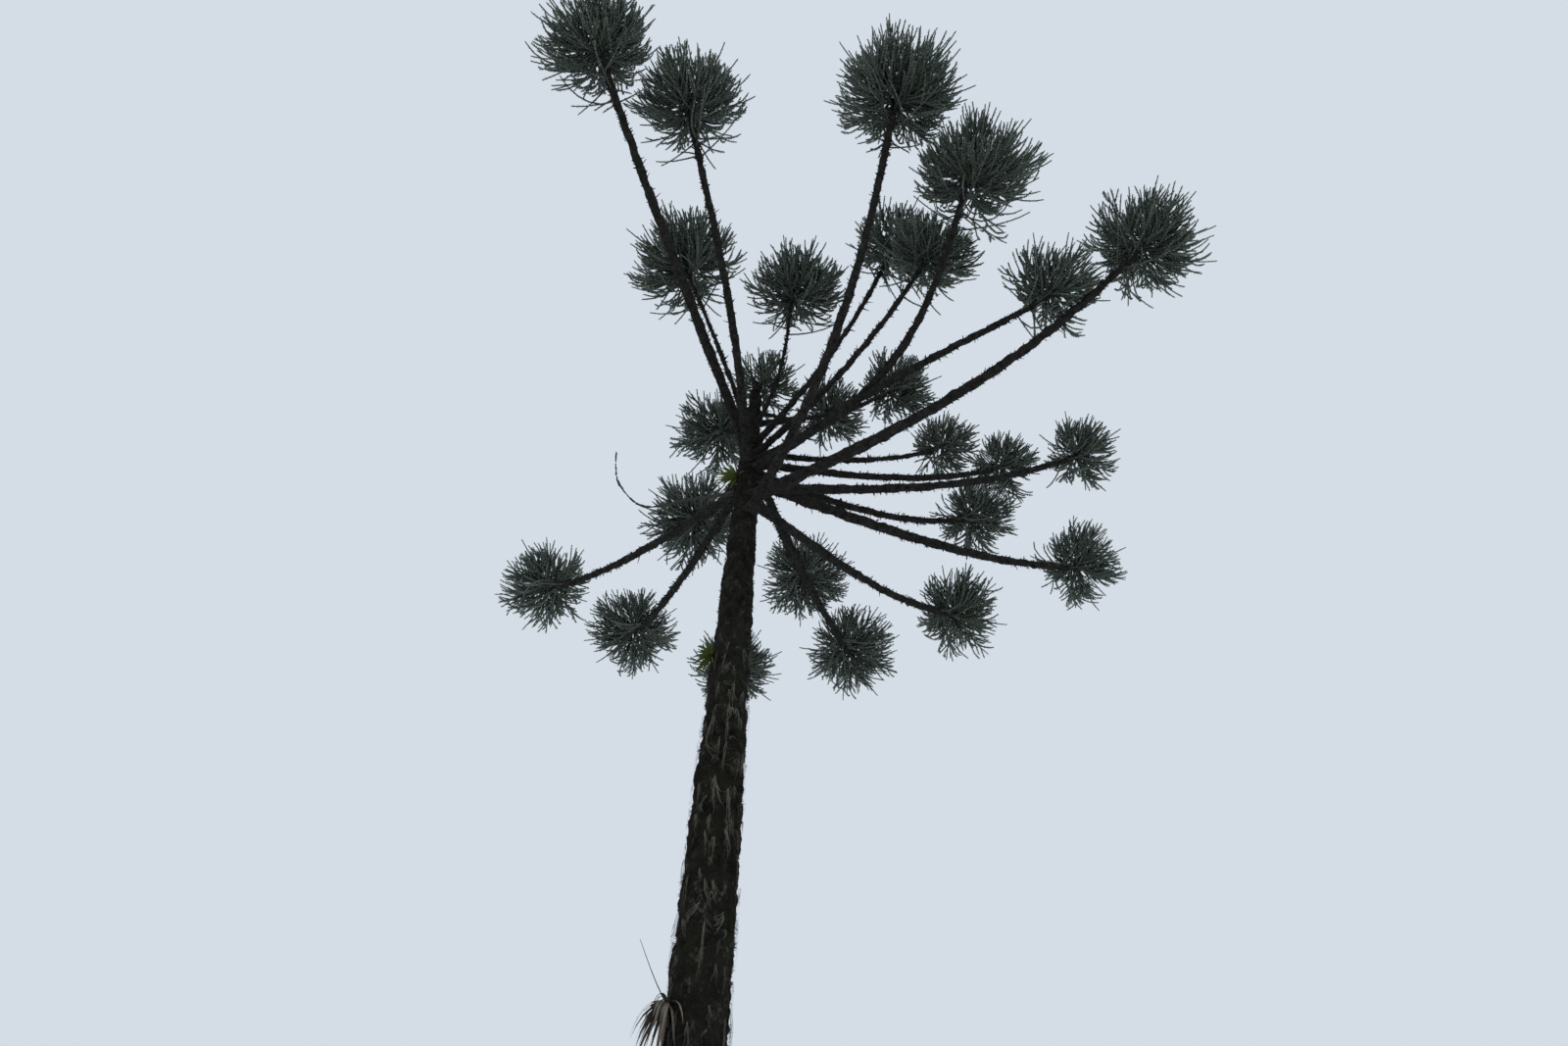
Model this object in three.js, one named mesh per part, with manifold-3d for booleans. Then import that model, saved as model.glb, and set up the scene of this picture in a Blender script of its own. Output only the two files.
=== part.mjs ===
// Candelabra monkey puzzle tree: a tall bare trunk, long bare boughs that fan out from its top,
// and a round tuft of rope-like needled branchlets on the end of every bough.
// Millimetres, +Z up, origin at the middle of the trunk's foot on the ground.
import * as THREE from 'three';
import { mergeVertices } from 'three/addons/utils/BufferGeometryUtils.js';
import Module from 'manifold-3d';

const wasm = await Module();
wasm.setup();

const METRE = 1000;
const GAP = 0.3;
const WELD = 1e-3;

// Trunk
const TRUNK_TOP = 21300;
const TRUNK_FOOT_RADIUS = 375;
const TAPER_CLOSES_AT = 22000;
const TAPER_POWER = 0.45;
const LEAN = 0.024;
const FLARE = 0.45;
const FLARE_HEIGHT = 520;
const FLARE_LOBES = 6;
const LOBE_DEPTH = 0.07;
const TRUNK_SIDES = 20;
const TRUNK_RINGS = [
  0, 130, 320, 620, 1100, 2200, 4300, 7000, 10000, 13000, 15600, 17600, 19000, 20300, TRUNK_TOP,
];

// Boughs: thickness grows with reach, and each one tapers to its tuft
const BOUGH_SIDES = 6;
const BOUGH_STEPS = 6;
const THINNEST_BOUGH = 18;
const THICKNESS_PER_REACH = 0.0115;
const BOUGH_TIP_SHARE = 0.62;
const BOUGH_TAPER_POWER = 0.8;
const TIP_SETBACK = 0.3;

// Azimuth in degrees from +X toward +Y, then metres: how far out and how high the tuft's middle is,
// the tuft's radius, the height at which the bough leaves the trunk, its sideways bow,
// and the share of its rise that it keeps for the outer end
const LIMBS = {
  near_left: { azimuth: -110.1, reach: 6.31, height: 20.9, radius: 1.15, spring: 19.1, bow: 0, curl: 0.3 },
  near: { azimuth: -100.2, reach: 5.07, height: 21.3, radius: 1.12, spring: 18.65, bow: 0.15, curl: 0.35 },
  near_inner: { azimuth: -115, reach: 2.64, height: 21.5, radius: 1.17, spring: 19.5, bow: 0.08, curl: 0.3 },
  top_near: { azimuth: -65.1, reach: 1.84, height: 22, radius: 1.06, spring: 19.85, bow: 0.1, curl: 0.4 },
  near_right: { azimuth: -65, reach: 5.63, height: 21.4, radius: 1.28, spring: 17.1, bow: 0.19, curl: 0.5 },
  right_near: { azimuth: -49, reach: 5.36, height: 20.8, radius: 1.26, spring: 18.75, bow: 0.66, curl: 0.5 },
  mid_a: { azimuth: -45.3, reach: 3.46, height: 21.9, radius: 0.98, spring: 19.3, bow: 0.03, curl: 0.5 },
  mid_b: { azimuth: -43.5, reach: 3.98, height: 20.8, radius: 1.03, spring: 18.95, bow: 0.06, curl: 0.5 },
  right_long: { azimuth: -23.2, reach: 7, height: 21.2, radius: 1.21, spring: 17.75, bow: 0.1, curl: 0.5 },
  right_a: { azimuth: -25.2, reach: 5.37, height: 20.5, radius: 0.99, spring: 18.5, bow: -0.27, curl: 0.45 },
  right_b: { azimuth: 4.2, reach: 2.54, height: 21.8, radius: 0.9, spring: 20.15, bow: 0, curl: 0.5 },
  right_c: { azimuth: 14, reach: 3.47, height: 20.9, radius: 0.79, spring: 19.15, bow: 0, curl: 0.5 },
  right_d: { azimuth: 32, reach: 4.85, height: 21.3, radius: 0.95, spring: 18.6, bow: 0, curl: 0.5 },
  right_e: { azimuth: 9.1, reach: 5.82, height: 20.8, radius: 0.86, spring: 18.1, bow: 0, curl: 0.5 },
  right_f: { azimuth: 16.1, reach: 4.66, height: 21.0, radius: 0.8, spring: 18.87, bow: 0, curl: 0.5 },
  far_right_a: { azimuth: 48, reach: 5.7, height: 20.6, radius: 1.05, spring: 17.85, bow: 0, curl: 0.5 },
  far_right_b: { azimuth: 29, reach: 6.9, height: 20.9, radius: 1.0, spring: 18.35, bow: 0, curl: 0.5 },
  far_a: { azimuth: 94, reach: 5.9, height: 21.0, radius: 1.05, spring: 18.0, bow: 0, curl: 0.5 },
  far_b: { azimuth: 71, reach: 5.6, height: 20.8, radius: 1.1, spring: 19.0, bow: 0, curl: 0.5 },
  far_in: { azimuth: 76.7, reach: 4.13, height: 21.4, radius: 1.08, spring: 19.35, bow: 0, curl: 0.5 },
  far_left_a: { azimuth: 137.5, reach: 5.16, height: 20.4, radius: 1.03, spring: 18.2, bow: 0, curl: 0.5 },
  far_left_b: { azimuth: 116, reach: 5.3, height: 20.7, radius: 1.05, spring: 18.45, bow: 0, curl: 0.5 },
  far_left_in: { azimuth: 112.9, reach: 2.96, height: 21.4, radius: 1.16, spring: 19.1, bow: 0, curl: 0.5 },
  top_left: { azimuth: 125.6, reach: 1.29, height: 21.7, radius: 1.02, spring: 20.4, bow: 0, curl: 0.5 },
  top_right: { azimuth: 27, reach: 1.54, height: 21.8, radius: 0.88, spring: 20.6, bow: 0, curl: 0.5 },
};
const LEADER = { radius: 0.85, offset: [0.2, 0.05, 0.3] };

// Thin dead branch that droops on the open side and turns up again at its end
const DEAD = { azimuth: -171, reach: 2.05, spring: 18.0, drop: 0.8, lift: 1.45, base: 34, tip: 12 };
// At each point along it: the share of its reach, of its drop and of its lift
const DEAD_LINE = [[0, 0, 0], [0.4, 0.55, 0], [0.72, 1, 0], [0.92, 0.4, 0], [0.98, 0.18, 0.25], [1, 1, 1]];

// Tufts: the branchlets' number grows with the tuft's surface
const BRANCHLETS_PER_SQUARE_METRE = 14.5;
const STEM_SIDES = 3;
const STEM_STEPS = 2;
const STEM_TIP = 24;
const STEM_BEND = 0.38;
const STEM_LIFT = 0.3;
const CORD_SIDES = 3;
const CORD_SHARE = 0.052;
const ROOT_FIRST = 0.12;
const ROOT_LAST = 0.96;
const LOWEST_ANGLE = 130;
const HIGHEST_ANGLE = 10;
const FLATNESS = 0.25;
const GOLDEN_ANGLE = Math.PI * (3 - Math.sqrt(5));
const TURN_JITTER = 0.5;
const FULLNESS_JITTER = 0.06;
const ELBOW = 0.55;
const SAG = 0.3;
const SHORTEN = [1, 0.86, 0.72];
const CLEARANCE = 25;
const MARGIN_SHARE = 0.4;
const CHECK_STEPS = 12;
const LIMB_SAMPLES = 100;
const LOWEST_FOLIAGE = 16000;
// Where each whorl of needles stands along a branchlet, and how far out it stands
const CORD_STATIONS = [0, 0.5, 0.57, 1];
const CORD_WIDTHS = [0.25, 1, 0.62, 0];

// A small generator of even numbers between 0 and 1, the same for the same seed
function seededRandom(seed) {
  let state = seed;
  return () => {
    state = (state * 1664525 + 1013904223) % 4294967296;
    return state / 4294967296;
  };
}

function toSolid(geometry) {
  const bare = geometry.clone();
  bare.deleteAttribute('normal');
  bare.deleteAttribute('uv');
  const merged = mergeVertices(bare, WELD);
  return new wasm.Manifold(new wasm.Mesh({
    numProp: 3,
    vertProperties: Float32Array.from(merged.attributes.position.array),
    triVerts: Uint32Array.from(merged.index.array),
  }));
}

function toGeometry(solid) {
  const mesh = solid.getMesh();
  const geometry = new THREE.BufferGeometry();
  geometry.setAttribute('position', new THREE.BufferAttribute(Float32Array.from(mesh.vertProperties), 3));
  geometry.setIndex(new THREE.BufferAttribute(Uint32Array.from(mesh.triVerts), 1));
  geometry.computeVertexNormals();
  return geometry;
}

function largestPiece(solid) {
  const pieces = solid.decompose();
  return pieces.reduce((best, piece) => (piece.volume() > best.volume() ? piece : best));
}

function trunkRadius(z) {
  return TRUNK_FOOT_RADIUS * (1 - z / TAPER_CLOSES_AT) ** TAPER_POWER;
}

function trunkAxis(z) {
  return new THREE.Vector3(LEAN * z, 0, z);
}

// A turned profile, then flared at the foot in soft lobes and leaned over
function trunkSolid(fatter) {
  const profile = TRUNK_RINGS.map((z) => new THREE.Vector2(trunkRadius(z) + fatter, z));
  const outline = [new THREE.Vector2(0, 0), ...profile, new THREE.Vector2(0, TRUNK_TOP)];
  const geometry = new THREE.LatheGeometry(outline, TRUNK_SIDES);
  geometry.rotateX(Math.PI / 2);
  const position = geometry.attributes.position;
  for (let i = 0; i < position.count; i += 1) {
    const z = position.getZ(i);
    const angle = Math.atan2(position.getY(i), position.getX(i));
    const fade = Math.exp(-z / FLARE_HEIGHT);
    const swell = 1 + FLARE * fade + LOBE_DEPTH * fade * Math.cos(FLARE_LOBES * angle);
    position.setXYZ(i, position.getX(i) * swell + LEAN * z, position.getY(i) * swell, z);
  }
  return toSolid(geometry);
}

// A tapering limb: a cylinder or cone whose rings are set along a curve
function limbSolid(curve, sides, stations, radii) {
  const steps = stations.length - 1;
  const pointed = radii[steps] === 0;
  const geometry = pointed
    ? new THREE.ConeGeometry(1, 1, sides, steps)
    : new THREE.CylinderGeometry(1, 1, 1, sides, steps);
  const frames = curve.computeFrenetFrames(steps, false);
  const centres = stations.map((station) => curve.getPointAt(station));
  const position = geometry.attributes.position;
  for (let i = 0; i < position.count; i += 1) {
    const ring = Math.round((position.getY(i) + 0.5) * steps);
    const spread = Math.hypot(position.getX(i), position.getZ(i));
    const scale = spread > 0 ? radii[ring] / spread : 0;
    const place = centres[ring].clone()
      .addScaledVector(frames.normals[ring], position.getX(i) * scale)
      .addScaledVector(frames.binormals[ring], -position.getZ(i) * scale);
    position.setXYZ(i, place.x, place.y, place.z);
  }
  return toSolid(geometry);
}

function evenStations(steps) {
  return Array.from({ length: steps + 1 }, (_, i) => i / steps);
}

// Level direction outward along a limb's azimuth, and the level direction square to it
function limbDirections(limb) {
  const angle = THREE.MathUtils.degToRad(limb.azimuth);
  const outward = new THREE.Vector3(Math.cos(angle), Math.sin(angle), 0);
  const sideways = new THREE.Vector3(-Math.sin(angle), Math.cos(angle), 0);
  return { outward, sideways };
}

function tuftCentre(limb) {
  const { outward } = limbDirections(limb);
  return new THREE.Vector3(LEAN * limb.spring * METRE, 0, limb.height * METRE)
    .addScaledVector(outward, limb.reach * METRE);
}

function boughCurve(limb) {
  const { outward, sideways } = limbDirections(limb);
  const run = (limb.reach - TIP_SETBACK * limb.radius) * METRE;
  const rise = (limb.height - TIP_SETBACK * limb.radius - limb.spring) * METRE;
  const points = evenStations(BOUGH_STEPS * 2).map((s) => {
    const climb = rise * ((1 - limb.curl) * s + limb.curl * s ** 3);
    return trunkAxis(limb.spring * METRE)
      .addScaledVector(outward, run * s)
      .addScaledVector(sideways, limb.bow * METRE * Math.sin(Math.PI * s))
      .add(new THREE.Vector3(0, 0, climb));
  });
  return new THREE.CatmullRomCurve3(points);
}

function boughRadius(limb, s) {
  const base = THINNEST_BOUGH + THICKNESS_PER_REACH * limb.reach * METRE;
  return base * (1 - (1 - BOUGH_TIP_SHARE) * s ** BOUGH_TAPER_POWER);
}

function boughSolid(limb, fatTrunk) {
  const stations = evenStations(BOUGH_STEPS);
  const radii = stations.map((s) => boughRadius(limb, s));
  const whole = limbSolid(boughCurve(limb), BOUGH_SIDES, stations, radii);
  return largestPiece(whole.subtract(fatTrunk));
}

function deadCurve() {
  const { outward } = limbDirections(DEAD);
  return new THREE.CatmullRomCurve3(DEAD_LINE.map(([out, fallen, lifted]) => {
    const height = lifted * DEAD.lift - fallen * DEAD.drop;
    return trunkAxis(DEAD.spring * METRE)
      .addScaledVector(outward, out * DEAD.reach * METRE)
      .add(new THREE.Vector3(0, 0, height * METRE));
  }));
}

function deadSolid(fatTrunk) {
  const stations = evenStations(BOUGH_STEPS);
  const radii = stations.map((s) => DEAD.base + (DEAD.tip - DEAD.base) * s);
  const whole = limbSolid(deadCurve(), BOUGH_SIDES, stations, radii);
  return largestPiece(whole.subtract(fatTrunk));
}

// What each tuft grows from: its middle, its radius, and where and which way its stem starts
function tuftOf(name, centre, radius, curve, startRadius) {
  const tip = curve.getPointAt(1);
  const heading = curve.getTangentAt(1);
  return { name, centre, radius, tip, heading, startRadius };
}

function allTufts() {
  const tufts = Object.entries(LIMBS).map(([name, limb]) => tuftOf(
    name, tuftCentre(limb), limb.radius * METRE, boughCurve(limb), boughRadius(limb, 1),
  ));
  const trunkLine = new THREE.LineCurve3(trunkAxis(0), trunkAxis(TRUNK_TOP));
  const shift = new THREE.Vector3(...LEADER.offset).multiplyScalar(METRE);
  const leaderCentre = trunkAxis(TRUNK_TOP).add(shift);
  const leader = tuftOf('leader', leaderCentre, LEADER.radius * METRE, trunkLine, trunkRadius(TRUNK_TOP));
  leader.heading = new THREE.Vector3(0, 0, 1);
  tufts.push(leader);
  return tufts;
}

// Points and radii along every limb, for keeping the foliage clear of them
function limbSamples() {
  const samples = [];
  const shares = evenStations(LIMB_SAMPLES);
  for (const limb of Object.values(LIMBS)) {
    const curve = boughCurve(limb);
    shares.forEach((s) => samples.push({ point: curve.getPointAt(s), radius: boughRadius(limb, s) }));
  }
  const dead = deadCurve();
  shares.forEach((s) => samples.push({ point: dead.getPointAt(s), radius: DEAD.base }));
  shares.forEach((s) => {
    const z = LOWEST_FOLIAGE + (TRUNK_TOP - LOWEST_FOLIAGE) * s;
    samples.push({ point: trunkAxis(z), radius: trunkRadius(z) });
  });
  return samples;
}

// How far a point is inside its own tuft's space: within its ball, and on its own side of the
// flat boundary where it would meet a neighbour's ball
function depthInSpace(point, tuft, tufts) {
  const own = point.distanceToSquared(tuft.centre) - tuft.radius ** 2;
  let depth = tuft.radius - point.distanceTo(tuft.centre);
  for (const other of tufts) {
    if (other !== tuft) {
      const theirs = point.distanceToSquared(other.centre) - other.radius ** 2;
      const apart = 2 * other.centre.distanceTo(tuft.centre);
      depth = Math.min(depth, (theirs - own) / apart);
    }
  }
  return depth;
}

function stemCurve(tuft) {
  const start = tuft.tip.clone().addScaledVector(tuft.heading, GAP);
  const bend = start.clone().addScaledVector(tuft.heading, STEM_BEND * tuft.radius);
  const end = tuft.centre.clone().add(new THREE.Vector3(0, 0, STEM_LIFT * tuft.radius));
  return new THREE.QuadraticBezierCurve3(start, bend, end);
}

// The branchlets' centre lines: roots climb the stem while their tips wind round the tuft's
// flattened ball from low at the back to its crown, each one bending back first and then forward
function branchletCurves(tuft, tufts, limbs, seed) {
  const random = seededRandom(seed);
  const stem = stemCurve(tuft);
  const axis = tuft.heading.clone().add(new THREE.Vector3(0, 0, 1)).normalize();
  const turnToAxis = new THREE.Quaternion().setFromUnitVectors(new THREE.Vector3(0, 0, 1), axis);
  const count = Math.round(BRANCHLETS_PER_SQUARE_METRE * (tuft.radius / METRE) ** 2);
  const lowest = Math.cos(THREE.MathUtils.degToRad(LOWEST_ANGLE));
  const highest = Math.cos(THREE.MathUtils.degToRad(HIGHEST_ANGLE));
  const thickness = CORD_SHARE * tuft.radius;
  const curves = [];
  for (let i = 0; i < count; i += 1) {
    const share = (i + 0.5) / count;
    const height = lowest + (highest - lowest) * share;
    const turn = i * GOLDEN_ANGLE + TURN_JITTER * (random() - 0.5);
    const level = Math.sqrt(1 - height ** 2);
    const direction = new THREE.Vector3(level * Math.cos(turn), level * Math.sin(turn), height);
    direction.applyQuaternion(turnToAxis).addScaledVector(axis, -FLATNESS * height);
    const fullness = 1 - FULLNESS_JITTER * random();
    const root = stem.getPointAt(ROOT_FIRST + (ROOT_LAST - ROOT_FIRST) * share);
    for (const shorter of SHORTEN) {
      const tip = tuft.centre.clone().addScaledVector(direction, tuft.radius * fullness * shorter);
      const elbow = root.clone().lerp(tip, ELBOW).addScaledVector(axis, -SAG * tip.distanceTo(root));
      const curve = new THREE.QuadraticBezierCurve3(root, elbow, tip);
      const inOwnSpace = evenStations(CHECK_STEPS).slice(1).every((station) => {
        const point = curve.getPointAt(station);
        const width = thickness * (1 - station ** 2);
        const clear = limbs.every((limb) => point.distanceTo(limb.point) > limb.radius + width + CLEARANCE);
        return clear && depthInSpace(point, tuft, tufts) >= Math.min(width, MARGIN_SHARE * thickness);
      });
      if (inOwnSpace) {
        curves.push(curve);
        break;
      }
    }
  }
  return curves;
}

function tuftSolid(tuft, tufts, limbs, seed) {
  const stem = stemCurve(tuft);
  const stations = evenStations(STEM_STEPS);
  const radii = stations.map((s) => tuft.startRadius + (STEM_TIP - tuft.startRadius) * s);
  let solid = limbSolid(stem, STEM_SIDES, stations, radii);
  const widths = CORD_WIDTHS.map((width) => width * CORD_SHARE * tuft.radius);
  for (const curve of branchletCurves(tuft, tufts, limbs, seed)) {
    solid = solid.add(limbSolid(curve, CORD_SIDES, CORD_STATIONS, widths));
  }
  return largestPiece(solid);
}

const bark = { color: 0x5a5048, roughness: 0.95, metalness: 0 };
const boughBark = { color: 0x4c453f, roughness: 0.95, metalness: 0 };
const deadWood = { color: 0x6d645b, roughness: 0.9, metalness: 0 };
const needles = { color: 0x2f3b30, roughness: 0.8, metalness: 0 };

function namedMesh(name, solid, finish) {
  const mesh = new THREE.Mesh(toGeometry(solid), new THREE.MeshStandardMaterial(finish));
  mesh.name = name;
  return mesh;
}

const tree = new THREE.Group();
const fatTrunk = trunkSolid(GAP);
tree.add(namedMesh('trunk', trunkSolid(0), bark));
for (const [name, limb] of Object.entries(LIMBS)) {
  tree.add(namedMesh(`bough_${name}`, boughSolid(limb, fatTrunk), boughBark));
}
tree.add(namedMesh('dead_branch', deadSolid(fatTrunk), deadWood));

const tufts = allTufts();
const limbs = limbSamples();
tufts.forEach((tuft, index) => {
  tree.add(namedMesh(`foliage_${tuft.name}`, tuftSolid(tuft, tufts, limbs, index + 1), needles));
});

export default tree;
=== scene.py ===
import math

import bmesh
import bpy
import numpy as np
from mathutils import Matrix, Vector, noise


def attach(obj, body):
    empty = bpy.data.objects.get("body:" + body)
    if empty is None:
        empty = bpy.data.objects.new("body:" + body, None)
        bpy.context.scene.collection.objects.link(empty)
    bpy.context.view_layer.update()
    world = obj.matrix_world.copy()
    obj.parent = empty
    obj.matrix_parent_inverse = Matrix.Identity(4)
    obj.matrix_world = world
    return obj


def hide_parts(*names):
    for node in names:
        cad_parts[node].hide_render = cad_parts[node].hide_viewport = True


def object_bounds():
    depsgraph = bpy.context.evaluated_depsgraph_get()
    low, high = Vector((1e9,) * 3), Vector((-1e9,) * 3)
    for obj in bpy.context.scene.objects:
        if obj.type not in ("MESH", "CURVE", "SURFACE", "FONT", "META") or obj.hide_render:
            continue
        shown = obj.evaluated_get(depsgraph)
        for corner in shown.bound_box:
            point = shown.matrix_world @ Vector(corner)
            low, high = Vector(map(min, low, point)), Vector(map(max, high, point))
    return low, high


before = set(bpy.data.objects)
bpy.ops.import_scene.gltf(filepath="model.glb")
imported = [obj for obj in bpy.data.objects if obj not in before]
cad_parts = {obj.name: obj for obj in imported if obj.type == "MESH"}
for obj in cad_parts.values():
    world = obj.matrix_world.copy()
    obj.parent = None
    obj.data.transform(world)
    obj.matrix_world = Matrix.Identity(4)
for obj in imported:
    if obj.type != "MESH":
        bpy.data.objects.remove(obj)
solid_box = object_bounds()

# Camera, at eye height under the crown and tipped up at it
CAMERA_PLACE = (1.0, -10.0, 1.6)
CAMERA_PITCH = 57.2
LENS_MM = 18.0
SENSOR_MM = 22.3

# Trunk, in metres
TRUNK_TOP = 21.3
TRUNK_FOOT_RADIUS = 0.375
TAPER_CLOSES_AT = 22.0
TAPER_POWER = 0.45
TAPER_CLIP = 21.9
LEAN = 0.024
FLARE = 0.45
FLARE_HEIGHT = 0.52
FLARE_LOBES = 6
LOBE_DEPTH = 0.07
TRUNK_SIDES = 84
TRUNK_RING_STEP = 0.026

# Boughs: azimuth in degrees from +X toward +Y, then metres: how far out and how high the tuft's
# middle is, the tuft's radius, the height at which the bough leaves the trunk, its sideways bow,
# and the share of its rise that it keeps for the outer end
LIMBS = {
    "near_left": dict(azimuth=-110.1, reach=6.31, height=20.9, radius=1.15, spring=19.1, bow=0.0, curl=0.3),
    "near": dict(azimuth=-100.2, reach=5.07, height=21.3, radius=1.12, spring=18.65, bow=0.15, curl=0.35),
    "near_inner": dict(azimuth=-115, reach=2.64, height=21.5, radius=1.17, spring=19.5, bow=0.08, curl=0.3),
    "top_near": dict(azimuth=-65.1, reach=1.84, height=22, radius=1.06, spring=19.85, bow=0.1, curl=0.4),
    "near_right": dict(azimuth=-65, reach=5.63, height=21.4, radius=1.28, spring=17.1, bow=0.19, curl=0.5),
    "right_near": dict(azimuth=-49, reach=5.36, height=20.8, radius=1.26, spring=18.75, bow=0.66, curl=0.5),
    "mid_a": dict(azimuth=-45.3, reach=3.46, height=21.9, radius=0.98, spring=19.3, bow=0.03, curl=0.5),
    "mid_b": dict(azimuth=-43.5, reach=3.98, height=20.8, radius=1.03, spring=18.95, bow=0.06, curl=0.5),
    "right_long": dict(azimuth=-23.2, reach=7, height=21.2, radius=1.21, spring=17.75, bow=0.1, curl=0.5),
    "right_a": dict(azimuth=-25.2, reach=5.37, height=20.5, radius=0.99, spring=18.5, bow=-0.27, curl=0.45),
    "right_b": dict(azimuth=4.2, reach=2.54, height=21.8, radius=0.9, spring=20.15, bow=0.0, curl=0.5),
    "right_c": dict(azimuth=14, reach=3.47, height=20.9, radius=0.79, spring=19.15, bow=0.0, curl=0.5),
    "right_d": dict(azimuth=32, reach=4.85, height=21.3, radius=0.95, spring=18.6, bow=0.0, curl=0.5),
    "right_e": dict(azimuth=9.1, reach=5.82, height=20.8, radius=0.86, spring=18.1, bow=0.0, curl=0.5),
    "right_f": dict(azimuth=16.1, reach=4.66, height=21.0, radius=0.8, spring=18.87, bow=0.0, curl=0.5),
    "far_right_a": dict(azimuth=48, reach=5.7, height=20.6, radius=1.05, spring=17.85, bow=0.0, curl=0.5),
    "far_right_b": dict(azimuth=29, reach=6.9, height=20.9, radius=1.0, spring=18.35, bow=0.0, curl=0.5),
    "far_a": dict(azimuth=94, reach=5.9, height=21.0, radius=1.05, spring=18.0, bow=0.0, curl=0.5),
    "far_b": dict(azimuth=71, reach=5.6, height=20.8, radius=1.1, spring=19.0, bow=0.0, curl=0.5),
    "far_in": dict(azimuth=76.7, reach=4.13, height=21.4, radius=1.08, spring=19.35, bow=0.0, curl=0.5),
    "far_left_a": dict(azimuth=137.5, reach=5.16, height=20.4, radius=1.03, spring=18.2, bow=0.0, curl=0.5),
    "far_left_b": dict(azimuth=116, reach=5.3, height=20.7, radius=1.05, spring=18.45, bow=0.0, curl=0.5),
    "far_left_in": dict(azimuth=112.9, reach=2.96, height=21.4, radius=1.16, spring=19.1, bow=0.0, curl=0.5),
    "top_left": dict(azimuth=125.6, reach=1.29, height=21.7, radius=1.02, spring=20.4, bow=0.0, curl=0.5),
    "top_right": dict(azimuth=27, reach=1.54, height=21.8, radius=0.88, spring=20.6, bow=0.0, curl=0.5),
}
LEADER = dict(radius=0.85, offset=(0.2, 0.05, 0.3))
DEAD = dict(azimuth=-171, reach=2.05, spring=18.0, drop=0.8, lift=1.45, base=0.034, tip=0.012)
# At each point along it: the share of its reach, of its drop and of its lift
DEAD_LINE = ((0, 0, 0), (0.4, 0.55, 0), (0.72, 1, 0), (0.92, 0.4, 0), (0.98, 0.18, 0.25), (1, 1, 1))
THINNEST_BOUGH = 0.018
THICKNESS_PER_REACH = 0.0115
BOUGH_TIP_SHARE = 0.62
BOUGH_TAPER_POWER = 0.8
TIP_SETBACK = 0.3
BOUGH_POINTS = 160
SMOOTH_POINTS = 80
BOUGH_SIDES = 16
BOUGH_RING_STEP = 0.034
COLLAR_SWELL = 0.35
COLLAR_LENGTH = 0.16
COLLAR_DEPTH = 0.06
DEAD_SIDES = 10
DEAD_SHRINK = 0.85
LEADER_RINGS = 40
LEADER_TIP_SHARE = 0.2
SAMPLES_PER_LIMB = 101
CROWN_FOOT = 16

# Bark: sizes of its plates, in metres, their stretch along the limb, and depths of the relief
TRUNK_PLATE_SIZE = 0.075
TRUNK_PLATE_STRETCH = 0.65
TRUNK_PLATE_DEPTH = 0.022
TRUNK_LUMPS_PER_METRE = 5.5
TRUNK_LUMP_DEPTH = 0.034
TRUNK_SINK = 0.004
BOUGH_PLATE_SIZE = 0.05
BOUGH_PLATE_STRETCH = 0.9
BOUGH_PLATE_DEPTH = 0.021
BOUGH_LUMPS_PER_METRE = 6.5
BOUGH_LUMP_SHARE = 0.26
BOUGH_SINK_SHARE = 0.02

# Tufts: main branchlets, then side shoots that rise from each of them.
# Lengths in metres, or shares where they scale with the tuft, and angles in degrees
MAINS_PER_SQUARE_METRE = 14.5
STEM_TIP = 0.024
STEM_LIFT = 0.3
STEM_BEND = 0.38
CORD_SHARE = 0.052
ROOT_FIRST = 0.12
ROOT_LAST = 0.96
LOWEST_ANGLE = 130
HIGHEST_ANGLE = 10
FLATNESS = 0.25
GOLDEN_ANGLE = math.pi * (3 - math.sqrt(5))
TURN_JITTER = 0.5
FULLNESS_JITTER = 0.06
ELBOW = 0.55
SAG = 0.3
SHORTEN = (1.0, 0.86, 0.72)
CLEARANCE = 0.025
NEARBY = 0.4
CHECK_STEPS = 12
# Layers of main branchlets: fullness, turn offset, seed, shoots on each, their limit and upturn
LAYERS = (
    (0.94, 0.0, 1, 13, 0.985, 1.1),
    (0.8, 0.36, 51, 16, 0.95, 0.85),
    (0.66, 0.7, 101, 15, 0.9, 0.75),
    (0.48, 0.18, 151, 12, 0.84, 0.75),
)
SPARSE_BELOW = -0.22
SPARSE_SHOOTS = 8
SPARSE_LIMIT = 0.93
SPARSE_UPTURN = 0.4
SKIRT_COUNT = 10
SKIRT_STRETCH = 0.55
SKIRT_REACH = 0.95
SKIRT_SAG = 0.16
SKIRT_UPTURN = 0.24
SKIRT_SHOOT_UPTURN = 0.35
SKIRT_HALF_WIDTH = 0.01
DROOPERS = 7
DROOPER_BACK = (0.05, 0.6)
DROOPER_REACH = (0.25, 0.5)
DROOPER_CHECKS = np.linspace(0.4, 1, 4)
DROOPER_HALF_WIDTH = 0.006
MAIN_RADIUS = 0.017
SHOOT_RADIUS = 0.015
TIP_RADIUS = 0.009
TWIG_STEP = 0.2
BLADE_SHOULDER = 0.38
BLADE_FOLD = 0.35
NEEDLE_COUNT = 375000
NEEDLE_LENGTH = 0.042
NEEDLE_VARIETY = (0.8, 1.12)
NEEDLE_WIDTH = 0.024
NEEDLE_MARGIN = 0.045
NEEDLE_SPREAD = (24, 48)
SPREAD_LOST_AT_TIP = 14
REACH_LIMIT = 0.985
CLUMP_EDGE = 0.26
RAGGED_EDGE = 0.14
SHOOT_SHORTEN = (1.0, 0.8, 0.62, 0.46)
SHOOT_FIRST = 0.16
SHOOT_SPAN = 0.78
SHOOT_LENGTH = (0.36, 0.74)
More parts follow.
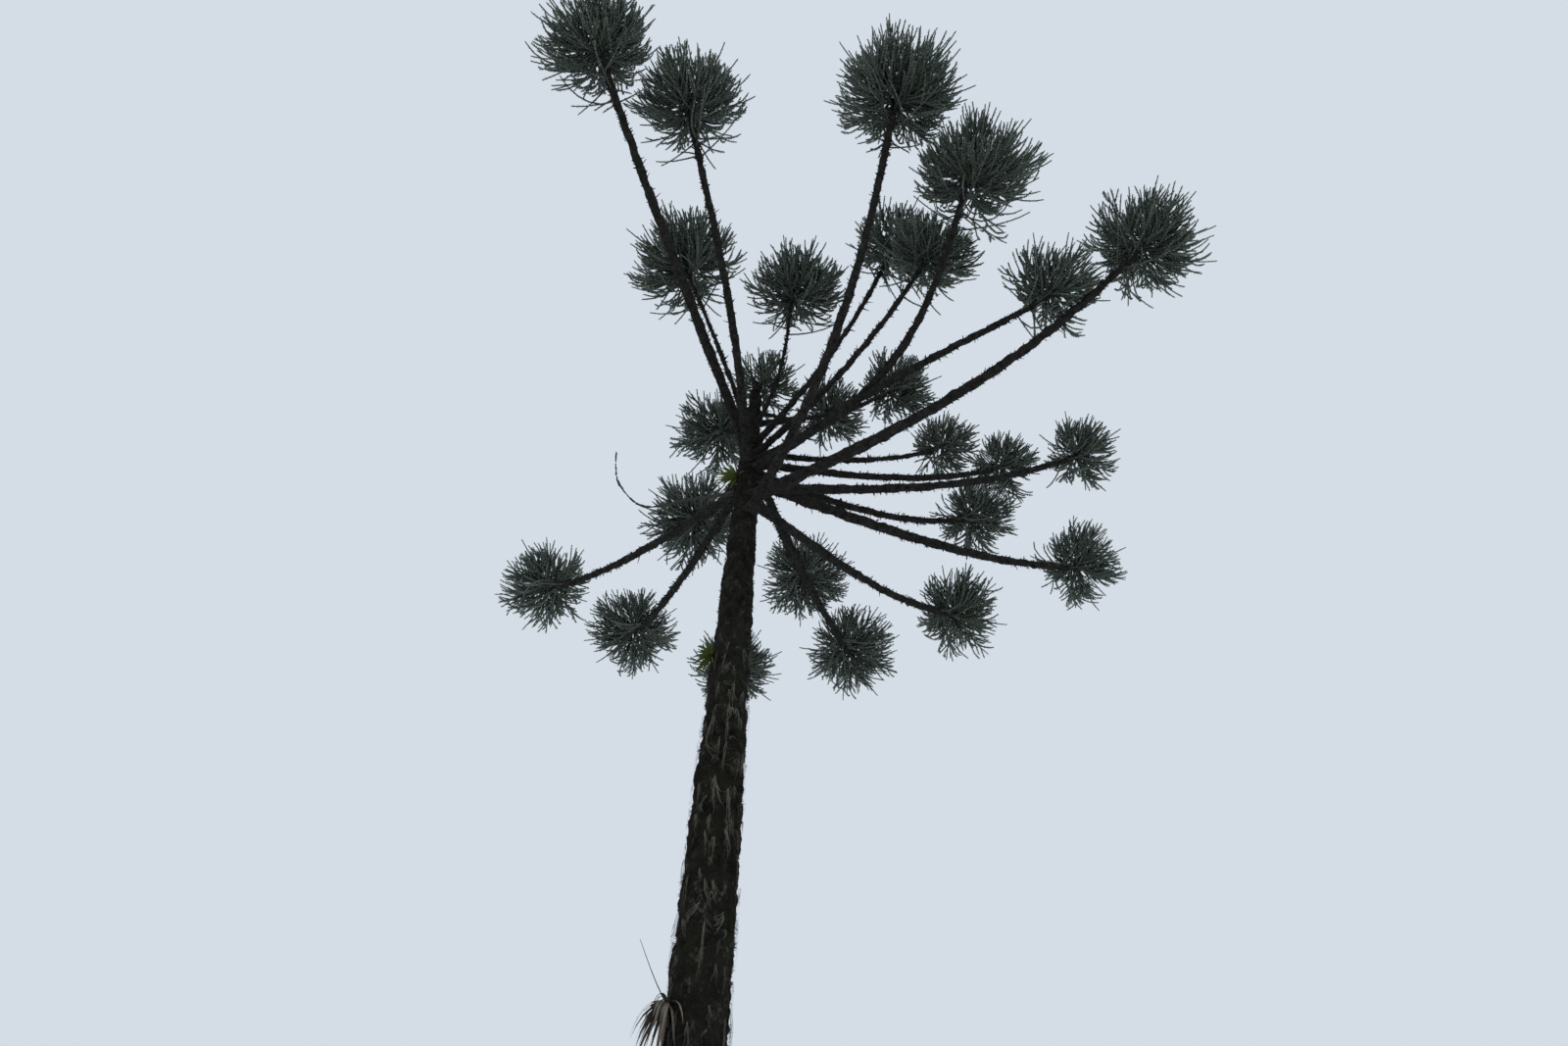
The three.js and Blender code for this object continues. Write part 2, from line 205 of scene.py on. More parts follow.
SHOOT_CHECKS = (0.35, 0.55, 0.75, 1.0)
SHOOT_HALF_WIDTH = 0.008
TUFTS_PER_PIECE = 4

# Growth on the bark: threads of lichen that hang in hanks and swags, moss, stubs of old twigs
HANKS = 340
SWAGS = 70
THREADS_PER_HANK = (3, 8)
HANK_DROP = (0.12, 0.4)
LONG_HANK_SHARE = 0.2
SWAG_DRIFT = (0.15, 0.4)
HANK_LOW = 1.2
HANK_HIGH = 14.0
THREAD_WIDTH = 0.009
THREAD_STATIONS = 9
MOSS_CLUMPS = 2200
BLADES_PER_CLUMP = 9
CLUMP_SPREAD = 0.022
MOSS_LENGTH = 0.045
MOSS_WIDTH = 0.007
MOSS_SINK = 0.012
TRUNK_LICHEN_SHARE = 0.12
BOUGH_LICHEN_SHARE = 0.2
STUBS_PER_METRE = 55
STUB_LENGTH = (0.02, 0.045)
STUB_RADIUS = (0.007, 0.016)
STUB_TIP = 0.004
LONG_STUB_SHARE = 0.05
BOUGH_MOSS_PER_METRE = 110
SPOT_CLEARANCE = 0.02
SPOT_SINK_SHARE = 0.9

# Small plants that perch on the trunk's left side: height on it, degrees from +X, leaves, their length
ROSETTES = ((18.4, 189, 38, 0.4), (13.95, 200, 30, 0.3))
ROSETTE_DROOP = 0.25
STRAP_WIDTH = 0.034
STRAP_PROFILE = (0.55, 0.9, 1.0, 0.85, 0.5, 0.06)
DRY_BUNCH = (8.86, 212, 46, 0.5)
DRY_WIDTH = 0.034
DRY_DROOP = 0.85
LOOSE_TWIG_RADII = (0.007, 0.003)
LOOSE_TWIG = ((-0.08, -0.2, 8.86), (-0.2, -0.24, 9.1), (-0.36, -0.22, 9.52))

# Floor and light, with the sun's angles in degrees
FLOOR_HALF = 150
FLOOR_DROP = 0.002
SKY_COLOUR = (0.66, 0.72, 0.79, 1)
SUN_STRENGTH = 0.5
SUN_ANGLE = 60
SUN_TILT = (38, 14, 0)

# The draws' seed, also given to Blender's noise, whose noise_vector would else follow the clock
SEED = 2026
random = np.random.default_rng(SEED)
noise.seed_set(SEED)


# Camera

def place_camera():
    data = bpy.data.cameras.new("camera")
    data.lens = LENS_MM
    data.sensor_width = SENSOR_MM
    data.clip_end = 1000
    camera = bpy.data.objects.new("camera", data)
    camera.location = CAMERA_PLACE
    camera.rotation_euler = (math.radians(90 + CAMERA_PITCH), 0, 0)
    bpy.context.collection.objects.link(camera)
    bpy.context.scene.camera = camera


place_camera()


# Materials

class Value:
    """An output of a material's nodes. Expressions on it add Math nodes."""

    def __init__(self, finish, socket):
        self.finish = finish
        self.socket = socket

    def maths(self, operation, first, second):
        return self.finish.node("ShaderNodeMath", {"operation": operation}, {0: first, 1: second})

    def __add__(self, other):
        return self.maths("ADD", self, other)

    def __mul__(self, other):
        return self.maths("MULTIPLY", self, other)

    __radd__ = __add__
    __rmul__ = __mul__


class Finish:
    """A material on Object coordinates, built up from expressions."""

    def __init__(self, name, specular=0.3):
        self.material = bpy.data.materials.new(name)
        self.material.use_nodes = True
        self.tree = self.material.node_tree
        self.shader = self.tree.nodes["Principled BSDF"]
        self.shader.inputs["Specular IOR Level"].default_value = specular
        self.place = self.node("ShaderNodeTexCoord", output="Object")

    def node(self, kind, settings=None, inputs=None, output=0):
        made = self.tree.nodes.new(kind)
        for key, value in (settings or {}).items():
            setattr(made, key, value)
        for key, value in (inputs or {}).items():
            self.feed(made.inputs[key], value)
        return Value(self, made.outputs[output])

    def feed(self, socket, value):
        if isinstance(value, Value):
            self.tree.links.new(value.socket, socket)
        else:
            socket.default_value = value

    def stretched(self, scale):
        return self.node("ShaderNodeMapping", {}, {"Vector": self.place, "Scale": scale})

    def cloud(self, scale, detail, rough, stretch=(1, 1, 1)):
        vector = self.stretched(stretch)
        inputs = {"Vector": vector, "Scale": scale, "Detail": detail, "Roughness": rough}
        return self.node("ShaderNodeTexNoise", {}, inputs, "Fac")

    def height(self):
        return self.node("ShaderNodeSeparateXYZ", {}, {"Vector": self.place}, "Z")

    def ramp(self, value, low, high, start=0.0, end=1.0):
        inputs = {"Value": value, "From Min": low, "From Max": high, "To Min": start, "To Max": end}
        return self.node("ShaderNodeMapRange", {"clamp": True}, inputs)

    def blend(self, share, first, second):
        """A mix of two colours, through the Mix node's colour sockets."""
        first, second = (value if isinstance(value, Value) else (*value, 1) for value in (first, second))
        return self.node("ShaderNodeMix", {"data_type": "RGBA"}, {0: share, 6: first, 7: second}, 2)

    def relief(self, height, distance):
        inputs = {"Height": height, "Distance": distance, "Strength": 1.0}
        self.feed(self.shader.inputs["Normal"], self.node("ShaderNodeBump", {}, inputs, "Normal"))

    def colour(self, value):
        self.feed(self.shader.inputs["Base Color"], value)

    def roughness(self, value):
        self.feed(self.shader.inputs["Roughness"], value)


def trunk_bark_finish():
    bark = Finish("trunk_bark", 0.06)
    scales = bark.cloud(30.0, 4.0, 0.7, (1, 1, 0.7))
    patches = bark.cloud(6.5, 5.0, 0.68, (1, 1, 0.55))
    stains = bark.cloud(1.6, 4.0, 0.6, (1, 1, 0.4))
    crust = bark.cloud(9.0, 5.0, 0.72, (1, 1, 0.5))
    moss = bark.cloud(2.6, 4.0, 0.65, (1, 1, 0.5))
    wood = bark.blend(bark.ramp(scales * 0.45 + patches * 0.55, 0.40, 0.6), (0.0024, 0.0022, 0.0015),
                      (0.018, 0.0155, 0.0115))
    weathered = bark.blend(bark.ramp(stains, 0.44, 0.6, 0.0, 0.55), wood, (0.016, 0.0145, 0.012))
    greened = bark.blend(bark.ramp(moss, 0.5, 0.64, 0.0, 0.7), weathered, (0.012, 0.014, 0.007))
    # Painted shade of the crown: from 11 m up to 19 m the pale lichen spots thin to under a third, so the
    # bark darkens toward the top
    painted_crown_shade = bark.ramp(bark.height(), 11.0, 19.0, 1.0, 0.3)
    spots = bark.ramp(crust, 0.54, 0.64, 0.0, 0.75) * bark.ramp(scales, 0.4, 0.58) * painted_crown_shade
    bark.colour(bark.blend(spots, greened, (0.095, 0.092, 0.075)))
    bark.roughness(0.82 + 0.16 * scales)
    bark.relief(scales * 0.4 + patches * 0.6, 0.05)
    return bark.material


def bough_bark_finish():
    bark = Finish("bough_bark", 0.08)
    scars = bark.cloud(40.0, 4.0, 0.7)
    lumps = bark.cloud(13.0, 4.0, 0.62)
    crust = bark.cloud(6.0, 5.0, 0.66)
    wood = bark.blend(bark.ramp(scars * 0.5 + lumps * 0.5, 0.38, 0.62), (0.0065, 0.006, 0.0055),
                      (0.032, 0.0295, 0.027))
    spots = bark.ramp(crust, 0.54, 0.68, 0.0, 0.6) * bark.ramp(scars, 0.4, 0.58)
    bark.colour(bark.blend(spots, wood, (0.060, 0.062, 0.052)))
    bark.roughness(0.8 + 0.18 * scars)
    bark.relief(scars * 0.5 + lumps * 0.5, 0.02)
    return bark.material


def dead_wood_finish():
    wood = Finish("dead_wood")
    streaks = wood.cloud(18.0, 4.0, 0.6, (0.35, 1, 1))
    wood.colour(wood.blend(streaks, (0.016, 0.014, 0.012), (0.070, 0.062, 0.054)))
    wood.roughness(0.78 + 0.15 * streaks)
    wood.relief(streaks, 0.006)
    return wood.material


def leafy_finish(name, dark, light, roughness, specular=0.35):
    leaf = Finish(name, specular)
    drift = leaf.cloud(1.6, 2.0, 0.5)
    fleck = leaf.cloud(34.0, 2.0, 0.6)
    leaf.colour(leaf.blend(leaf.ramp(drift * 0.5 + fleck * 0.5, 0.32, 0.68), dark, light))
    leaf.roughness(roughness + 0.12 * fleck)
    return leaf.material


def floor_finish():
    floor = Finish("pale_floor", 0.1)
    cloud = floor.cloud(0.35, 3.0, 0.5)
    floor.colour(floor.blend(cloud, (0.74, 0.75, 0.75), (0.80, 0.81, 0.81)))
    floor.roughness(0.9)
    return floor.material


TRUNK_BARK = trunk_bark_finish()
BOUGH_BARK = bough_bark_finish()
DEAD_WOOD = dead_wood_finish()
TWIG_BARK = leafy_finish("twig_bark", (0.044, 0.050, 0.039), (0.085, 0.097, 0.075), 0.8, 0.2)
NEEDLE_GREENS = [
    leafy_finish("needles_deep", (0.090, 0.114, 0.098), (0.150, 0.186, 0.154), 0.45),
    leafy_finish("needles_mid", (0.110, 0.144, 0.112), (0.188, 0.232, 0.176), 0.42),
    leafy_finish("needles_grey", (0.140, 0.168, 0.154), (0.225, 0.260, 0.232), 0.5),
]
GREEN_SHARES = (0.5, 0.3, 0.2)
LICHEN = leafy_finish("hanging_lichen", (0.034, 0.034, 0.026), (0.135, 0.135, 0.106), 0.9, 0.1)
MOSS = leafy_finish("bark_moss", (0.005, 0.005, 0.003), (0.028, 0.026, 0.016), 0.9, 0.1)
PERCHING_LEAF = leafy_finish("perching_leaf", (0.055, 0.070, 0.012), (0.135, 0.160, 0.035), 0.5)
DRY_LEAF = leafy_finish("dry_leaf", (0.085, 0.069, 0.053), (0.205, 0.174, 0.137), 0.75, 0.2)
FLOOR = floor_finish()


# Curves as arrays of points, in metres

def vector(*numbers):
    return np.array(numbers, dtype=float)


def unit(direction):
    return direction / np.linalg.norm(direction)


def by_length(points, shares):
    """The points at these shares of the length of a polyline."""
    steps = np.linalg.norm(np.diff(points, axis=0), axis=1)
    travelled = np.concatenate([[0], np.cumsum(steps)])
    wanted = np.asarray(shares) * travelled[-1]
    return np.stack([np.interp(wanted, travelled, points[:, i]) for i in range(3)], axis=1)


def length_of(points):
    return np.linalg.norm(np.diff(points, axis=0), axis=1).sum()


def bezier(first, elbow, last, count=33):
    t = np.linspace(0, 1, count)[:, None]
    return (1 - t) ** 2 * first + 2 * t * (1 - t) * elbow + t ** 2 * last


def trunk_radius(z):
    return TRUNK_FOOT_RADIUS * (1 - z / TAPER_CLOSES_AT) ** TAPER_POWER


def trunk_axis(z):
    return vector(LEAN * z, 0, z)


def outward_of(limb):
    angle = math.radians(limb["azimuth"])
    return vector(math.cos(angle), math.sin(angle), 0)


def tuft_centre(limb):
    return vector(LEAN * limb["spring"], 0, limb["height"]) + limb["reach"] * outward_of(limb)


def bough_path(limb):
    outward = outward_of(limb)
    sideways = vector(-outward[1], outward[0], 0)
    run = limb["reach"] - TIP_SETBACK * limb["radius"]
    rise = limb["height"] - TIP_SETBACK * limb["radius"] - limb["spring"]
    s = np.linspace(0, 1, BOUGH_POINTS)[:, None]
    climb = rise * ((1 - limb["curl"]) * s + limb["curl"] * s ** 3)
    bowed = limb["bow"] * np.sin(math.pi * s)
    return trunk_axis(limb["spring"]) + run * s * outward + bowed * sideways + climb * vector(0, 0, 1)


def bough_radius(limb, s):
    base = THINNEST_BOUGH + THICKNESS_PER_REACH * limb["reach"]
    return base * (1 - (1 - BOUGH_TIP_SHARE) * s ** BOUGH_TAPER_POWER)


def smooth_path(knots):
    """A smooth line through a few knots, evenly sampled."""
    points = [knots[0] * 2 - knots[1], *knots, knots[-1] * 2 - knots[-2]]
    line = []
    for a, b, c, d in zip(points, points[1:], points[2:], points[3:]):
        for t in np.linspace(0, 1, 17)[:-1]:
            line.append(0.5 * (2 * b + (c - a) * t + (2 * a - 5 * b + 4 * c - d) * t ** 2
                               + (3 * b - a - 3 * c + d) * t ** 3))
    line.append(knots[-1])
    return by_length(np.array(line), np.linspace(0, 1, SMOOTH_POINTS))


def dead_path():
    knots = []
    for out, fallen, lifted in DEAD_LINE:
        height = lifted * DEAD["lift"] - fallen * DEAD["drop"]
        level = trunk_axis(DEAD["spring"]) + out * DEAD["reach"] * outward_of(DEAD)
        knots.append(level + vector(0, 0, height))
    return smooth_path(knots)


def all_tufts():
    tufts = []
    for name, limb in LIMBS.items():
        path = bough_path(limb)
        tufts.append(dict(name=name, centre=tuft_centre(limb), radius=limb["radius"], tip=path[-1],
                          heading=unit(path[-1] - path[-2]), start=bough_radius(limb, 1)))
    top = trunk_axis(TRUNK_TOP)
    tufts.append(dict(name="leader", centre=top + vector(*LEADER["offset"]), radius=LEADER["radius"],
                      tip=top, heading=vector(0, 0, 1), start=trunk_radius(TRUNK_TOP)))
    for tuft in tufts:
        tuft["axis"] = unit(tuft["heading"] + vector(0, 0, 1))
    return tufts


def trunk_surface(heights, turns, lift):
    """Points on the trunk's skin, or lifted off it, and the level directions out of it and round it."""
    fade = np.exp(-heights / FLARE_HEIGHT)
    swell = 1 + FLARE * fade + LOBE_DEPTH * fade * np.cos(FLARE_LOBES * turns)
    outward = np.stack([np.cos(turns), np.sin(turns), 0 * turns], axis=-1)
    round_it = np.stack([-np.sin(turns), np.cos(turns), 0 * turns], axis=-1)
    middle = np.stack([LEAN * heights, 0 * heights, heights], axis=-1)
    return middle + outward * (trunk_radius(heights) * swell + lift)[..., None], outward, round_it


def stem_path(tuft):
    bend = tuft["tip"] + STEM_BEND * tuft["radius"] * tuft["heading"]
    return bezier(tuft["tip"], bend, tuft["centre"] + vector(0, 0, STEM_LIFT * tuft["radius"]))


def limb_samples():
    points, radii = [], []
    shares = np.linspace(0, 1, SAMPLES_PER_LIMB)
    for limb in LIMBS.values():
        points.append(by_length(bough_path(limb), shares))
        radii.append(bough_radius(limb, shares))
    points.append(by_length(dead_path(), shares))
    radii.append(np.full(SAMPLES_PER_LIMB, DEAD["base"]))
    heights = np.linspace(CROWN_FOOT, TRUNK_TOP, SAMPLES_PER_LIMB)
    points.append(np.array([trunk_axis(z) for z in heights]))
    radii.append(trunk_radius(heights))
    return np.concatenate(points), np.concatenate(radii)


TUFTS = all_tufts()
LIMB_POINTS, LIMB_RADII = limb_samples()
CENTRES = np.array([tuft["centre"] for tuft in TUFTS])
BALLS = np.array([tuft["radius"] for tuft in TUFTS])


# The rule that the foliage grows by

def seeded(seed):
    """Even numbers between 0 and 1, the same each time for the same seed."""
    state = seed
    while True:
        state = (state * 1664525 + 1013904223) % 4294967296
        yield state / 4294967296


def room(points, index):
    """How far each point is inside a tuft's own space."""
    gaps = np.linalg.norm(points[:, None] - CENTRES[None], axis=2) ** 2 - BALLS ** 2
    apart = 2 * np.linalg.norm(CENTRES - CENTRES[index], axis=1)
    apart[index] = 1
    depth = (gaps - gaps[:, index:index + 1]) / apart
    depth[:, index] = BALLS[index] - np.linalg.norm(points - CENTRES[index], axis=1)
    low, high = np.array(solid_box)
    edge = np.minimum(points - low, high - points).min(axis=1) - NEEDLE_MARGIN
    return np.minimum(depth.min(axis=1), edge)


def nearby_limbs(tuft):
    near = np.linalg.norm(LIMB_POINTS - tuft["centre"], axis=1) < tuft["radius"] + NEARBY
    return LIMB_POINTS[near], LIMB_RADII[near]


def fits(line, index, limbs, widths):
    """True if a branchlet's line stays in its tuft's space and clear of every limb."""
    points, radii = limbs
    gaps = np.linalg.norm(line[:, None] - points[None], axis=2) - radii
    clear = (gaps.min(axis=1) > widths + CLEARANCE).all() if len(points) else True
    return clear and (room(line, index) >= np.minimum(widths, 0.4 * widths.max())).all()


def turned_to(axis, direction):
    """Direction after the turn that takes +Z onto axis."""
    crossed = np.cross((0, 0, 1), axis)
    lift = 1 + axis[2]
    across = np.cross(crossed, direction)
    return direction + across + np.cross(crossed, across) / lift


def main_branchlets(tuft, index, limbs, fullness_share, offset, seed):
    """Lines of main branchlets, whose roots climb the stem while their tips wind round the ball."""
    draw = seeded(seed)
    stem = stem_path(tuft)
    axis = tuft["axis"]
    radius = tuft["radius"]
    count = round(MAINS_PER_SQUARE_METRE * radius ** 2)
    lowest = math.cos(math.radians(LOWEST_ANGLE))
    highest = math.cos(math.radians(HIGHEST_ANGLE))
    thickness = CORD_SHARE * radius
    widths = thickness * (1 - np.linspace(0, 1, CHECK_STEPS + 1)[1:] ** 2)
    found = []
    for i in range(count):
        share = (i + 0.5) / count
        height = lowest + (highest - lowest) * share
        turn = (i + offset) * GOLDEN_ANGLE + TURN_JITTER * (next(draw) - 0.5)
        level = math.sqrt(1 - height ** 2)
        direction = turned_to(axis, vector(level * math.cos(turn), level * math.sin(turn), height))
        direction = direction - FLATNESS * height * axis
        fullness = (1 - FULLNESS_JITTER * next(draw)) * fullness_share
        root = by_length(stem, [ROOT_FIRST + (ROOT_LAST - ROOT_FIRST) * share])[0]
        for shorter in SHORTEN:
            tip = tuft["centre"] + direction * radius * fullness * shorter
            elbow = root + ELBOW * (tip - root) - SAG * np.linalg.norm(tip - root) * axis
            line = bezier(root, elbow, tip)
            if fits(by_length(line, np.linspace(0, 1, CHECK_STEPS + 1)[1:]), index, limbs, widths):
                found.append(line)
                break
    return found


def inside(tip, tuft, flatness, limit):
    """True if a tip lies in this share of the tuft's flattened ball."""
    from_centre = tip - tuft["centre"]
    along = (from_centre @ tuft["axis"]) * tuft["axis"]
    return np.linalg.norm(from_centre + flatness / (1 - flatness) * along) < limit * tuft["radius"]


def bough_end(tuft):
    """Down the end of a tuft's bough: its line, and the level direction across it."""
    path = bough_path(LIMBS[tuft["name"]])
    return path, unit(np.cross(tuft["heading"], vector(0, 0, 1)))


def skirt_branchlets(tuft, index, limbs):
    """Long sparse branchlets from under the tuft that spread almost level and turn up at their tips."""
    if tuft["name"] == "leader":
        return []
    path, across = bough_end(tuft)
    ahead = unit(np.cross(vector(0, 0, 1), across))
    found = []
    for i in range(SKIRT_COUNT):
        back = SKIRT_STRETCH * ((i + random.uniform(0.2, 1)) / SKIRT_COUNT) ** 1.4
        root = by_length(path, [1 - back / length_of(path)])[0]
        turn = i * GOLDEN_ANGLE + random.uniform(-0.3, 0.3)
        level = math.cos(turn) * across + 0.8 * math.sin(turn) * ahead
        direction = unit(level + vector(0, 0, random.uniform(-0.5, 0.0)))
        for shorter in SHOOT_SHORTEN:
            reach = tuft["radius"] * SKIRT_REACH * shorter
            elbow = root + reach * (0.6 * direction - vector(0, 0, SKIRT_SAG))
            tip = root + reach * (direction + vector(0, 0, SKIRT_UPTURN))
            line = bezier(root, elbow, tip)
            if not inside(tip, tuft, 0, REACH_LIMIT):
                continue
            widths = np.full(CHECK_STEPS, SKIRT_HALF_WIDTH)
            if fits(by_length(line, np.linspace(0.3, 1, CHECK_STEPS)), index, limbs, widths):
                found.append(line)
                break
    return found


def drooping_twigs(tuft, index, limbs):
    """Thin short branchlets that hang from the bough's end."""
    if tuft["name"] == "leader":
        return []
    path, across = bough_end(tuft)
    found = []
    for i in range(DROOPERS):
        root = by_length(path, [1 - random.uniform(*DROOPER_BACK) / length_of(path)])[0]
        level = unit((1, -1)[i % 2] * across + 0.6 * random.normal() * tuft["heading"])
        reach = random.uniform(*DROOPER_REACH)
        elbow = root + reach * (0.45 * level - vector(0, 0, 0.25))
        tip = elbow + reach * (0.2 * level - vector(0, 0, random.uniform(0.1, 0.5)))
        line = bezier(root, elbow, tip)
        widths = np.full(len(DROOPER_CHECKS), DROOPER_HALF_WIDTH)
        checked = by_length(line, DROOPER_CHECKS)
        if inside(tip, tuft, 0, REACH_LIMIT) and fits(checked, index, limbs, widths):
            found.append(line)
    return found


def side_shoots(line, tuft, index, limbs, count, widest, upturn, flatness=FLATNESS):
    """Finer shoots that leave a main branchlet to both sides and sweep out, then up at their tips."""
    radius, axis = tuft["radius"], tuft["axis"]
    onward = unit(line[-1] - line[-6])
    clump_limit = widest - CLUMP_EDGE * random.uniform()
    found = []
    for j in range(count):
        t = SHOOT_FIRST + SHOOT_SPAN * (j + random.uniform(0.2, 0.8)) / count
        root, ahead = by_length(line, [t, min(1, t + 0.06)])
        along = unit(ahead - root)
        side = np.cross(along, unit(axis + vector(0.03, 0.01, 0) + 0.3 * random.normal(size=3)))
        side = unit(side) * (1, -1, 0.25)[j % 3]
        outward = unit(root - tuft["centre"] + 0.2 * radius * axis)
        course = unit(0.2 * onward + upturn * axis + 0.3 * outward + 0.25 * side
                      + 0.18 * random.normal(size=3))
        limit = clump_limit - RAGGED_EDGE * random.uniform()
        length = radius * random.uniform(*SHOOT_LENGTH) * (1.1 - 0.35 * t)
        for shorter in SHOOT_SHORTEN:
            reach = length * shorter
            elbow = root + reach * (0.4 * along + 0.34 * side + 0.24 * outward
                                    + 0.07 * random.normal(size=3))
            tip = elbow + 0.6 * reach * course
            if not inside(tip, tuft, flatness, limit):
                continue
            shoot = bezier(root, elbow, tip, 13)
            widths = np.full(len(SHOOT_CHECKS), SHOOT_HALF_WIDTH)
            if fits(by_length(shoot, SHOOT_CHECKS), index, limbs, widths):
                found.append(shoot)
                break
    return found


# Meshes

def finished_piece(name, mesh, materials, slot, *nodes):
    for material in materials:
        mesh.materials.append(material)
    piece = bpy.data.objects.new(name, mesh)
    bpy.context.collection.objects.link(piece)
    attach(piece, "root")
    if nodes:
        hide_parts(*nodes)


def joined_mesh(name, points, triangles, kinds=None):
    """One mesh from arrays of points and triangles, with a material number for each triangle."""
    mesh = bpy.data.meshes.new(name)
    mesh.vertices.add(len(points))
    mesh.vertices.foreach_set("co", points.astype(np.float32).ravel())
    mesh.loops.add(3 * len(triangles))
    mesh.loops.foreach_set("vertex_index", triangles.astype(np.int32).ravel())
    mesh.polygons.add(len(triangles))
    mesh.polygons.foreach_set("loop_start", np.arange(0, 3 * len(triangles), 3, dtype=np.int32))
    if kinds is not None:
        mesh.polygons.foreach_set("material_index", kinds.astype(np.int32))
    mesh.update(calc_edges=True)
    mesh.validate()
    return mesh


def frames_along(points):
    """Tangents, and two directions across them that turn as little as possible, along a line."""
    tangents = np.gradient(points, axis=0)
    tangents /= np.linalg.norm(tangents, axis=1)[:, None]
    start = vector(0, 0, 1) if abs(tangents[0][2]) < 0.9 else vector(1, 0, 0)
    across = [unit(np.cross(tangents[0], start))]
    for tangent in tangents[1:]:
        across.append(unit(across[-1] - tangent * (across[-1] @ tangent)))
    across = np.array(across)
    return tangents, across, np.cross(tangents, across)


def swept_limb(name, points, radii, sides, relief, cap_flat=False):
    """A closed skin round a line: a grid rolled into a tube and moved out by the relief."""
    skin = bmesh.new()
    bmesh.ops.create_grid(skin, x_segments=sides, y_segments=len(points) - 1, size=0.5)
    skin.verts.ensure_lookup_table()
    flat = np.array([vert.co[:2] for vert in skin.verts]) + 0.5
    ring = np.rint(flat[:, 1] * (len(points) - 1)).astype(int)
    turn = 2 * math.pi * (flat[:, 0] % 1.0)
    _, across, over = frames_along(points)
    if cap_flat:
        across[:] = (1, 0, 0)
        over[:] = (0, 1, 0)
    spoke = np.cos(turn)[:, None] * across[ring] + np.sin(turn)[:, None] * over[ring]
    swell = relief(points[ring], spoke, radii[ring], turn)
    placed = points[ring] + spoke * (radii[ring] + swell)[:, None]
    for vert, place in zip(skin.verts, placed):
        vert.co = place
    bmesh.ops.remove_doubles(skin, verts=skin.verts, dist=1e-5)
    ends = [edge for edge in skin.edges if edge.is_boundary]
    bmesh.ops.holes_fill(skin, edges=ends, sides=0)
    bmesh.ops.recalc_face_normals(skin, faces=skin.faces)
    mesh = bpy.data.meshes.new(name)
    skin.to_mesh(mesh)
    skin.free()
    for face in mesh.polygons:
        face.use_smooth = True
    return mesh


def plate_relief(place, stretch, size):
    """Height, mostly from -0.5 to 0.5, of rough scales of bark at one place."""
    spot = Vector((place[0] / size, place[1] / size, place[2] / (size * stretch)))
    spot = spot + 0.45 * noise.noise_vector(spot * 1.7)
    nearest, _ = noise.voronoi(spot)
    scale = min(1.0, (nearest[1] - nearest[0]) * 1.6)
    lumps = noise.fractal(spot * 0.4, 0.8, 2.1, 4)
    return 0.5 * (scale - 0.45) + 0.5 * lumps


def trunk_relief(points, spoke, radii, turn):
    heights = points[:, 2]
    fade = np.exp(-heights / FLARE_HEIGHT)
    flare = radii * (FLARE * fade + LOBE_DEPTH * fade * np.cos(FLARE_LOBES * turn))
    surface = points + spoke * radii[:, None]
    plates = np.array([plate_relief(place, TRUNK_PLATE_STRETCH, TRUNK_PLATE_SIZE) for place in surface])
    spots = [Vector((place[0], place[1], 0.6 * place[2])) * TRUNK_LUMPS_PER_METRE for place in surface]
    lumps = np.array([noise.fractal(spot, 0.9, 2.0, 4) for spot in spots])
    return flare + TRUNK_PLATE_DEPTH * plates + TRUNK_LUMP_DEPTH * lumps - TRUNK_SINK


def trunk_skin():
    heights = np.linspace(0, TRUNK_TOP, round(TRUNK_TOP / TRUNK_RING_STEP) + 1)
    points = np.stack([LEAN * heights, 0 * heights, heights], axis=1)
    radii = trunk_radius(heights)
    mesh = swept_limb("trunk_skin", points, radii, TRUNK_SIDES, trunk_relief, cap_flat=True)
    finished_piece("trunk_skin", mesh, [TRUNK_BARK], "trunk_bark", "trunk")


def bough_relief(points, spoke, radii, _):
    surface = points + spoke * radii[:, None]
    plates = np.array([plate_relief(place, BOUGH_PLATE_STRETCH, BOUGH_PLATE_SIZE) for place in surface])
    lumps = np.array([noise.noise(Vector(place) * BOUGH_LUMPS_PER_METRE) for place in surface])
    return radii * (BOUGH_LUMP_SHARE * lumps - BOUGH_SINK_SHARE) + BOUGH_PLATE_DEPTH * plates


def limb_rings(path, radii_at):
    """Evenly spaced rings from just inside the trunk's skin to the end of a path."""
    count = round(length_of(path) / BOUGH_RING_STEP)
    shares = np.linspace(0, 1, count)
    points = by_length(path, shares)
    radii = radii_at(shares)
    from_axis = np.hypot(points[:, 0] - LEAN * points[:, 2], points[:, 1])
    depth = from_axis - trunk_radius(points[:, 2].clip(0, TAPER_CLIP))
    outside = depth > -COLLAR_DEPTH
    collar = 1 + COLLAR_SWELL * np.exp(-depth.clip(0, None) / COLLAR_LENGTH)
    return points[outside], (radii * collar)[outside]


def bough_skins():
    for name, limb in LIMBS.items():
        tuft = next(tuft for tuft in TUFTS if tuft["name"] == name)
        bough, stem = bough_path(limb), stem_path(tuft)
        path = np.concatenate([bough, stem[1:]])
        bough_share = length_of(bough) / length_of(path)

        def radii_at(shares, limb=limb, bough_share=bough_share, tuft=tuft):
            along = (shares / bough_share).clip(0, 1)
            past = ((shares - bough_share) / (1 - bough_share)).clip(0, 1)
            return bough_radius(limb, along) + (0.6 * STEM_TIP - tuft["start"]) * past

        points, radii = limb_rings(path, radii_at)
        mesh = swept_limb(f"bough_skin_{name}", points, radii, BOUGH_SIDES, bough_relief)
        finished_piece(f"bough_skin_{name}", mesh, [BOUGH_BARK], "bough_bark", f"bough_{name}")


